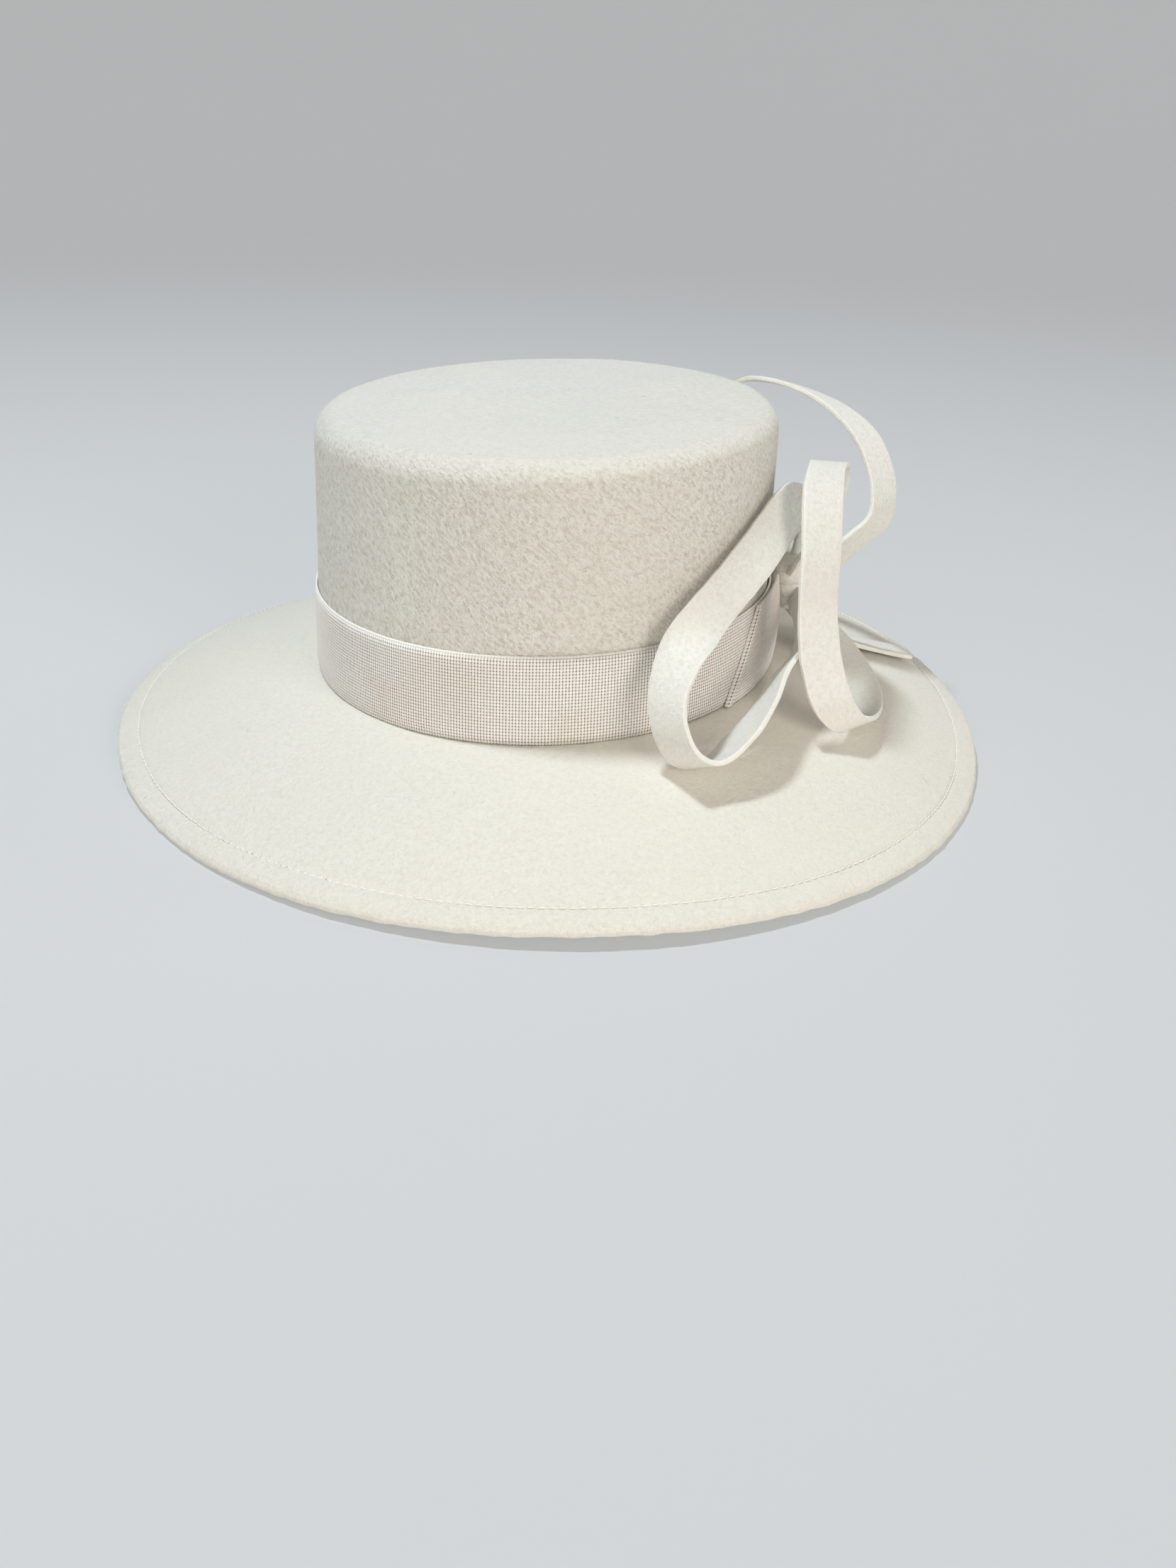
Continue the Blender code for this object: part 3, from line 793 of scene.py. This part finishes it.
def make_strip(node, table, seed):
    """Felt strip with soft corners and a slightly uneven cut along both edges."""
    rows = smooth_rows([strip_row(*row) for row in table])
    grid = []
    uv = []
    length = 0.0
    for i, (middle, half) in enumerate(rows):
        ahead = rows[min(i + 1, len(rows) - 1)][0] - rows[max(i - 1, 0)][0]
        face = ahead.cross(half).normalized()
        across = half.normalized()
        if i:
            length += (middle - rows[i - 1][0]).length
        left = CUT_WANDER * noise.noise(Vector((length / CUT_WAVELENGTH, seed, 0.3)))
        right = CUT_WANDER * noise.noise(Vector((length / CUT_WAVELENGTH, seed, 7.9)))
        ring = []
        places = []
        for x, z in strip_section(half.length):
            uneven = right * max(0.0, x / half.length) - left * max(0.0, -x / half.length)
            ring.append(tuple(middle + across * (x + uneven) + face * z))
            places.append((length, x))
        grid.append(ring)
        uv.append(places + places[:1])
    piece = grid_piece(node + "_felt", np.array(grid), np.array(uv))
    roughen(piece, [(0.02, 0.00018, seed), (0.005, 0.00006, seed + 1)])
    return piece, length


def make_knot():
    """Soft wrap of felt round the ends of the strips, with slanting turns."""
    angle = np.radians(np.array([KNOT_AZIMUTH]))
    clear = 2 * CLOTH_GAP + BAND_THICKNESS
    centre = crown_points(angle, clear + KNOT_WIDTH / 2, KNOT_UP * CROWN_HEIGHT)[0]
    half = np.array([KNOT_WIDTH, KNOT_DEPTH, KNOT_HEIGHT]) / 2 * KNOT_SHARE
    turns = np.linspace(0, 2 * math.pi, KNOT_COLUMNS + 1)
    heights = np.linspace(-0.96, 0.96, KNOT_ROWS)
    cosines, sines = np.cos(turns[:-1]), np.sin(turns[:-1])
    x = np.sign(cosines) * np.abs(cosines) ** KNOT_FLAT_SQUARE
    y = np.sign(sines) * np.abs(sines) ** KNOT_FLAT_SQUARE
    grid = []
    for height in heights:
        side = (1 - abs(height) ** KNOT_SQUARE) ** (1 / KNOT_SQUARE)
        wave = KNOT_WRAPS * math.pi * height + KNOT_SLANT * sines + KNOT_WRAP_START
        swell = side * (0.90 + 0.10 * np.abs(np.sin(wave)) ** 0.5)
        ring = np.stack([x * swell, y * swell, np.full(KNOT_COLUMNS, height)], -1)
        grid.append(ring * half + centre)
    piece = grid_piece("knot_felt", np.array(grid), wrap_uv(turns * 0.01, heights * 0.01))
    roughen(piece, KNOT_WAVES)
    return piece


def scatter(piece, count, rng, keep):
    """Random places on a piece's surface, and the normals there. keep weighs each triangle."""
    mesh = piece.data
    mesh.calc_loop_triangles()
    corners = np.empty(len(mesh.loop_triangles) * 3, np.int32)
    mesh.loop_triangles.foreach_get("vertices", corners)
    points = read_points(piece)[0][corners.reshape(-1, 3)]
    a, b, c = points[:, 0], points[:, 1], points[:, 2]
    cross = np.cross(b - a, c - a)
    size = np.linalg.norm(cross, axis=1)
    normals = cross / np.maximum(size, 1e-12)[:, None]
    weight = size * keep((a + b + c) / 3, normals)
    pick = rng.choice(len(size), count, p=weight / weight.sum())
    s = np.sqrt(rng.random(count))[:, None]
    t = rng.random(count)[:, None]
    return a[pick] * (1 - s) + b[pick] * s * (1 - t) + c[pick] * s * t, normals[pick]


def make_fibres(name, pieces, number, lengths, lifts, radius, seed, keep):
    """Short fibres on the felt as one joined piece, with the same number on each of the pieces."""
    rng = np.random.default_rng(seed)
    picked = [scatter(piece, number, rng, keep) for piece in pieces]
    place = np.concatenate([p for p, _ in picked])
    normal = np.concatenate([n for _, n in picked])
    count = len(place)
    ahead = np.cross(rng.normal(size=(count, 3)), normal)
    ahead /= np.linalg.norm(ahead, axis=1)[:, None]
    aside = np.cross(normal, ahead)
    length = rng.uniform(*lengths, count)[:, None]
    lift = np.radians(rng.uniform(*lifts, count))[:, None]
    bend = rng.uniform(-0.5, 0.5, count)[:, None]
    rings = []
    for share, thick in FIBRE_TAPER:
        rise = length * share * np.sin(lift) * (1 - 0.4 * share)
        middle = place + ahead * length * share * np.cos(lift) + aside * length * bend * share * share
        middle = middle + normal * (rise + radius * 0.5)
        for turn in (0, 120, 240):
            out = normal * math.cos(math.radians(turn)) + aside * math.sin(math.radians(turn))
            rings.append(middle + out * radius * thick)
    points = np.stack(rings, 1).reshape(-1, 3)
    faces = []
    for k in range(3):
        for s in range(3):
            t = (s + 1) % 3
            faces.append((3 * k + s, 3 * k + t, 3 * k + 3 + t, 3 * k + 3 + s))
    starts = range(0, 12 * count, 12)
    every = [tuple(i + v for v in face) for i in starts for face in faces + [(2, 1, 0), (9, 10, 11)]]
    mesh = bpy.data.meshes.new(name)
    mesh.from_pydata(points.tolist(), [], every)
    return finish_mesh(name, mesh)


def crown_outside(places, normals):
    """The crown's outer face above the ribbon, most of all its side."""
    heights = places[:, 2] - lean(places[:, 0], places[:, 1])
    clear = heights > BRIM_RISE + BAND_HEIGHT + FIBRE_CLEAR
    outward = (normals * (places - np.array([CROWN_SHIFT, 0, 0.08]))).sum(1) > 0
    return clear * outward * (0.4 + (normals[:, 2] < 0.9))


def brim_outside(places, normals):
    """The brim's top face, most of all along its edge."""
    reach = np.hypot(places[:, 0] / BRIM_HALF_WIDTH, places[:, 1] / BRIM_HALF_DEPTH)
    return (normals[:, 2] > -0.1) * (reach > 0.66) * (1 + 9 * (reach > 0.985))


def strip_outside(places, normals):
    """All of a strip that is well clear of the crown and the knot."""
    return (np.hypot(places[:, 0], places[:, 1]) > FIBRE_AXIS_CLEAR) * 1.0


class Shader:
    """A material's nodes, added and linked by short calls."""

    def __init__(self, name):
        self.material = bpy.data.materials.new(name)
        self.material.use_nodes = True
        self.tree = self.material.node_tree
        self.surface = self.tree.nodes["Principled BSDF"]

    def node(self, kind, inputs=(), **settings):
        made = self.tree.nodes.new("ShaderNode" + kind)
        for key, value in settings.items():
            setattr(made, key, value)
        for key, value in dict(inputs).items():
            if isinstance(value, bpy.types.NodeSocket):
                self.tree.links.new(value, made.inputs[key])
            else:
                made.inputs[key].default_value = value
        return made

    def place(self):
        """Coordinates on the hat, in metres."""
        return self.node("TexCoord").outputs["Object"]

    def cloth(self):
        """Coordinates along and across the cloth, in metres."""
        return self.node("UVMap", uv_map=UV_NAME).outputs["UV"]

    def math(self, operation, a, b=0.0):
        return self.node("Math", {0: a, 1: b}, operation=operation).outputs[0]

    def plus(self, a, b):
        return self.math("ADD", a, b)

    def times(self, a, b):
        return self.math("MULTIPLY", a, b)

    def noise(self, vector, scale, detail=2.0, roughness=0.55, distortion=0.0):
        return self.node("TexNoise", {
            "Vector": vector,
            "Scale": scale,
            "Detail": detail,
            "Roughness": roughness,
            "Distortion": distortion,
        }).outputs["Fac"]

    def mix(self, factor, a, b, blend="MIX"):
        made = self.node("Mix", data_type="RGBA", blend_type=blend)
        for index, value in ((0, factor), (6, a), (7, b)):
            if isinstance(value, bpy.types.NodeSocket):
                self.tree.links.new(value, made.inputs[index])
            elif index == 0:
                made.inputs[index].default_value = value
            else:
                made.inputs[index].default_value = (*value, 1.0)
        return made.outputs[2]

    def ramp(self, factor, low, high):
        """0 below low, 1 above high, smooth between."""
        made = self.node("MapRange", {"Value": factor, "From Min": low, "From Max": high})
        made.interpolation_type = "SMOOTHSTEP"
        return made.outputs["Result"]

    def turned(self, vector, degrees, scale):
        """The vector turned in its plane and then scaled."""
        turned = self.node("Mapping", {"Vector": vector, "Rotation": (0, 0, math.radians(degrees))})
        return self.node("Mapping", {"Vector": turned.outputs[0], "Scale": scale}).outputs[0]

    def finish(self, colour, height, surface):
        """The finished material, from its colour, its height in metres and its surface values."""
        roughness, sheen, sheen_roughness, sheen_tint = surface
        bump = self.node("Bump", {"Height": height, "Strength": 1.0, "Distance": 1.0})
        inputs = self.surface.inputs
        self.tree.links.new(colour, inputs["Base Color"])
        self.tree.links.new(bump.outputs[0], inputs["Normal"])
        inputs["Roughness"].default_value = roughness
        inputs["Specular IOR Level"].default_value = 0.2
        inputs["Sheen Weight"].default_value = sheen
        inputs["Sheen Roughness"].default_value = sheen_roughness
        inputs["Sheen Tint"].default_value = (*sheen_tint, 1.0)
        return self.material


def add_specks(shader, colour, speck_colour):
    """Sparse dark specks caught in the cloth."""
    cells = shader.node("TexVoronoi", {"Vector": shader.place(), "Scale": SPECK_CELLS})
    pick = shader.node("SeparateColor", {"Color": cells.outputs["Color"]}).outputs[0]
    near = shader.math("LESS_THAN", cells.outputs["Distance"], SPECK_RADIUS)
    chosen = shader.math("GREATER_THAN", pick, SPECK_FREE)
    return shader.mix(shader.times(near, chosen), colour, speck_colour)


def side_nap(shader):
    """Slanting streaks of the crown's side round 0, and 1 on the side and 0 on the tip."""
    cloth = shader.cloth()
    slanting = shader.turned(cloth, 40, (360.0, 900.0, 1.0))
    streaks = shader.noise(slanting, 1.0, roughness=0.6, distortion=0.5)
    rise = shader.node("SeparateXYZ", {"Vector": cloth}).outputs[1]
    on_side = shader.ramp(rise, CROWN_HEIGHT + 0.004, CROWN_HEIGHT - 0.012)
    return shader.times(shader.math("SUBTRACT", streaks, 0.5), on_side), on_side


def felt_pattern(shader, light, dark, warm, depth, fine, with_side=False):
    """Colour and height of wool felt. with_side gives the crown's side its own nap and its own tones,
    lighter than the tip's, whose darker tones are painted shade.
    """
    place = shader.place()
    clump = shader.noise(place, 1 / (fine * 2.4), detail=3.0, roughness=0.62, distortion=0.35)
    fibre = shader.noise(place, 1 / (fine * 0.55), roughness=0.7, distortion=0.5)
    relief = shader.plus(clump, shader.times(fibre, 0.45))
    height = shader.times(relief, depth)
    tone = shader.plus(shader.times(clump, 0.6), shader.times(fibre, 0.4))
    if with_side:
        nap, on_side = side_nap(shader)
        deeper = shader.times(shader.times(relief, SIDE_DEPTH - depth), on_side)
        height = shader.plus(shader.plus(height, deeper), shader.times(nap, STREAK_DEPTH))
        tone = shader.plus(tone, shader.times(nap, STREAK_SHARE))
        # The side takes its lighter tones here, and the tip keeps its darker ones as painted shade
        light = shader.mix(on_side, light, SIDE_LIGHT)
        dark = shader.mix(on_side, dark, SIDE_DARK)
    blotch = shader.ramp(shader.noise(place, 16.0, detail=3.0), 0.42, 0.68)
    tint = shader.ramp(shader.noise(place, 34.0), 0.5, 0.75)
    colour = shader.mix(shader.ramp(tone, 0.28, 0.60), dark, light)
    colour = shader.mix(shader.times(blotch, 0.35), colour, warm)
    colour = shader.mix(shader.times(tint, 0.22), colour, light)
    return add_specks(shader, colour, FELT_SPECKS), height


def make_crown_material():
    """Crown felt: slanting nap on the side, smoother on the tip, and painted shade that makes the tip
    darker than the side.
    """
    shader = Shader("felt_crown")
    colour, height = felt_pattern(
        shader, TIP_SHADED_LIGHT, TIP_SHADED_DARK, FELT_WARM, depth=0.0006, fine=0.0007, with_side=True
    )
    return shader.finish(colour, height, FELT_SURFACE)


def make_brim_material():
    shader = Shader("felt_brim")
    # Painted shade: the brim's felt takes darker tones than the crown's side
    colour, height = felt_pattern(shader, BRIM_SHADED_LIGHT, BRIM_SHADED_DARK, FELT_WARM, depth=0.0005, fine=0.0006)
    return shader.finish(colour, height, FELT_SURFACE)


def make_strip_material():
    """Strip felt, with a painted highlight along the cut edges."""
    shader = Shader("felt_strip")
    colour, height = felt_pattern(shader, STRIP_LIGHT, STRIP_DARK, STRIP_WARM, depth=0.0004, fine=0.0006)
    across = shader.node("SeparateXYZ", {"Vector": shader.cloth()}).outputs[1]
    distance = shader.math("ABSOLUTE", across)
    # Painted highlight: the last half millimetre of each face and the cut edges are mixed towards a
    # paler colour
    edge = shader.ramp(distance, STRIP_WIDTH / 2 - 0.0005, STRIP_WIDTH / 2 - 0.0002)
    colour = shader.mix(shader.times(edge, 0.8), colour, CUT_EDGE_HIGHLIGHT)
    return shader.finish(colour, height, STRIP_SURFACE)


def gap_between(shader, place, pitch):
    """1 in the gap between two threads, 0 over most of each thread."""
    wave = shader.math("SINE", shader.times(place, math.pi / pitch))
    return shader.ramp(shader.math("ABSOLUTE", wave), 0.72, 0.08)


def make_ribbon_material():
    """Grosgrain: ribs across the ribbon, crossed by fine threads, with painted shade in the gaps between
    them, and pale edges.
    """
    shader = Shader("ribbon")
    cloth = shader.cloth()
    parts = shader.node("SeparateXYZ", {"Vector": cloth})
    up = parts.outputs[1]
    rib_gap = gap_between(shader, parts.outputs[0], RIB_PITCH)
    thread_gap = gap_between(shader, up, THREAD_PITCH)
    uneven = shader.noise(cloth, 700.0)
    # Painted shade in the gaps between ribs and threads, darkest where they cross
    painted_gap_shade = shader.plus(shader.times(rib_gap, RIB_SHADE), shader.times(thread_gap, THREAD_SHADE))
    painted_crossing_shade = shader.times(shader.times(rib_gap, thread_gap), CROSSING_SHADE)
    grain = shader.times(shader.math("SUBTRACT", uneven, 0.5), GRAIN_SHADE)
    shade = shader.plus(shader.plus(painted_crossing_shade, painted_gap_shade), grain)
    colour = shader.mix(shader.ramp(shade, -0.1, 1.1), RIBBON_LIGHT, RIBBON_GAP_SHADE_AND_GRAIN)
    warmth = shader.times(shader.ramp(shader.noise(cloth, 30.0), 0.4, 0.7), 0.8)
    colour = shader.mix(warmth, colour, RIBBON_WARM, "MULTIPLY")
    low_edge = shader.ramp(up, 0.0011, 0.0004)
    high_edge = shader.ramp(up, BAND_HEIGHT - 0.0013, BAND_HEIGHT - 0.0006)
    edges = shader.times(shader.plus(low_edge, high_edge), 0.85)
    colour = add_specks(shader, shader.mix(edges, colour, RIBBON_EDGE), RIBBON_SPECKS)
    height = shader.math("SUBTRACT", shader.times(uneven, 0.00015), shader.times(thread_gap, 0.00016))
    return shader.finish(colour, height, RIBBON_SURFACE)


def make_thread_material():
    shader = Shader("seam_thread")
    twist = shader.noise(shader.place(), 2600.0)
    colour = shader.mix(twist, THREAD_DARK, THREAD_LIGHT)
    return shader.finish(colour, shader.times(twist, 0.0001), THREAD_SURFACE)


def make_fibre_material(name, light, dark):
    shader = Shader(name)
    grain = shader.noise(shader.place(), 900.0, detail=1.0)
    colour = shader.mix(grain, dark, light)
    return shader.finish(colour, shader.times(grain, 0.00002), FIBRE_SURFACE)


def make_floor_material():
    shader = Shader("studio_floor")
    grain = shader.noise(shader.place(), 3.0)
    colour = shader.mix(grain, FLOOR_COLOUR, FLOOR_PALE)
    shader.tree.links.new(colour, shader.surface.inputs["Base Color"])
    shader.surface.inputs["Emission Color"].default_value = (*GLOW_COLOUR, 1.0)
    shader.surface.inputs["Emission Strength"].default_value = FLOOR_GLOW
    shader.surface.inputs["Roughness"].default_value = 0.9
    return shader.material


def make_stage():
    """Plain round floor that curves up into a wall on all sides."""
    profile = [(0.02, 0.0), (0.4, 0.0), (0.8, 0.0), (FLOOR_RADIUS, 0.0)]
    for turn in np.radians(np.linspace(10, 90, 9)):
        profile.append((
            FLOOR_RADIUS + (WALL_RADIUS - FLOOR_RADIUS) * math.sin(turn),
            (WALL_RADIUS - FLOOR_RADIUS) * (1 - math.cos(turn)),
        ))
    profile.append((WALL_RADIUS, WALL_HEIGHT))
    turns = np.linspace(0, 2 * math.pi, STAGE_SIDES, endpoint=False)
    mesh = bpy.data.meshes.new("studio_floor")
    points = [(r * math.cos(t), r * math.sin(t), z) for r, z in profile for t in turns]
    faces = []
    for start in range(0, len(points) - STAGE_SIDES, STAGE_SIDES):
        for j in range(STAGE_SIDES):
            k = (j + 1) % STAGE_SIDES
            above = start + STAGE_SIDES
            faces.append((start + j, start + k, above + k, above + j))
    faces.append(list(range(STAGE_SIDES)))
    mesh.from_pydata(points, [], faces)
    mesh.shade_smooth()
    floor = bpy.data.objects.new("studio_floor", mesh)
    bpy.context.scene.collection.objects.link(floor)
    mesh.materials.append(make_floor_material())


def make_lights():
    for name, place, width, power, colour in LIGHTS:
        data = bpy.data.lights.new(name, "AREA")
        data.shape = "DISK"
        data.size = width
        data.energy = power
        data.color = colour
        lamp = bpy.data.objects.new(name, data)
        lamp.location = place
        aim = Vector(LIGHTS_AIM) - Vector(place)
        lamp.rotation_euler = aim.to_track_quat("-Z", "Y").to_euler()
        bpy.context.scene.collection.objects.link(lamp)
    world = bpy.data.worlds.new("studio_sky")
    world.use_nodes = True
    background = world.node_tree.nodes["Background"]
    background.inputs["Color"].default_value = (*SKY_COLOUR, 1.0)
    background.inputs["Strength"].default_value = SKY_STRENGTH
    bpy.context.scene.world = world
    bpy.context.scene.view_settings.view_transform = "Standard"


def make_camera():
    data = bpy.data.cameras.new("camera")
    data.sensor_fit = "AUTO"
    data.sensor_width = SENSOR
    data.lens = CAMERA_LENS
    data.clip_start = 0.01
    camera = bpy.data.objects.new("camera", data)
    turn = Matrix.Rotation(math.radians(-CAMERA_TURN), 4, "Z")
    tilt = Matrix.Rotation(math.radians(90 + CAMERA_TILT), 4, "X")
    roll = Matrix.Rotation(math.radians(CAMERA_ROLL), 4, "Z")
    camera.matrix_world = Matrix.Translation(CAMERA_PLACE) @ turn @ tilt @ roll
    bpy.context.scene.collection.objects.link(camera)
    bpy.context.scene.camera = camera


def dress(piece, material, slot, *nodes):
    """Give a piece its material, and put it on the hat in place of the nodes that it stands for."""
    piece.data.materials.append(material)
    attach(piece, "root")
    if nodes:
        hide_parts(*nodes)


def add_fibres(crown, brim, strips):
    """Pale fuzz and a few dark hairs on the felt."""
    looks = {
        "fuzz": make_fibre_material("felt_fuzz", FUZZ_LIGHT, FELT_WARM),
        "hairs": make_fibre_material("dark_hair", HAIR_LIGHT, HAIR_DARK),
    }
    felts = {
        "crown": ([crown], crown_outside, "ivory_felt"),
        "brim": ([brim], brim_outside, "ivory_felt"),
        "strip": (strips, strip_outside, "strip_felt"),
    }
    for name, number, lengths, lifts, radius, seed in FIBRES:
        felt, look = name.split("_")
        pieces, keep, slot = felts[felt]
        fibres = make_fibres(name, pieces, number, lengths, lifts, radius, seed, keep)
        dress(fibres, looks[look], slot)


def main():
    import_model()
    make_camera()
    make_lights()
    make_stage()
    felt_crown = make_crown_material()
    felt_brim = make_brim_material()
    felt_strip = make_strip_material()
    ribbon = make_ribbon_material()
    crown = make_crown()
    brim = make_brim()
    dress(crown, felt_crown, "ivory_felt", "crown")
    dress(brim, felt_brim, "ivory_felt", "brim")
    dress(make_stitches(), make_thread_material(), "ivory_felt")
    band, band_length = make_band()
    dress(band, ribbon, "ivory_ribbon", "band")
    band_end, end_length = make_band_end()
    dress(band_end, ribbon, "ivory_ribbon", "band_end")
    dress(make_knot(), felt_strip, "strip_felt", "knot")
    strips = []
    for seed, (node, table) in enumerate(STRIPS.items()):
        strip, length = make_strip(node, table, 20 + 2 * seed)
        dress(strip, felt_strip, "strip_felt", node)
        strips.append(strip)
    add_fibres(crown, brim, strips)


main()
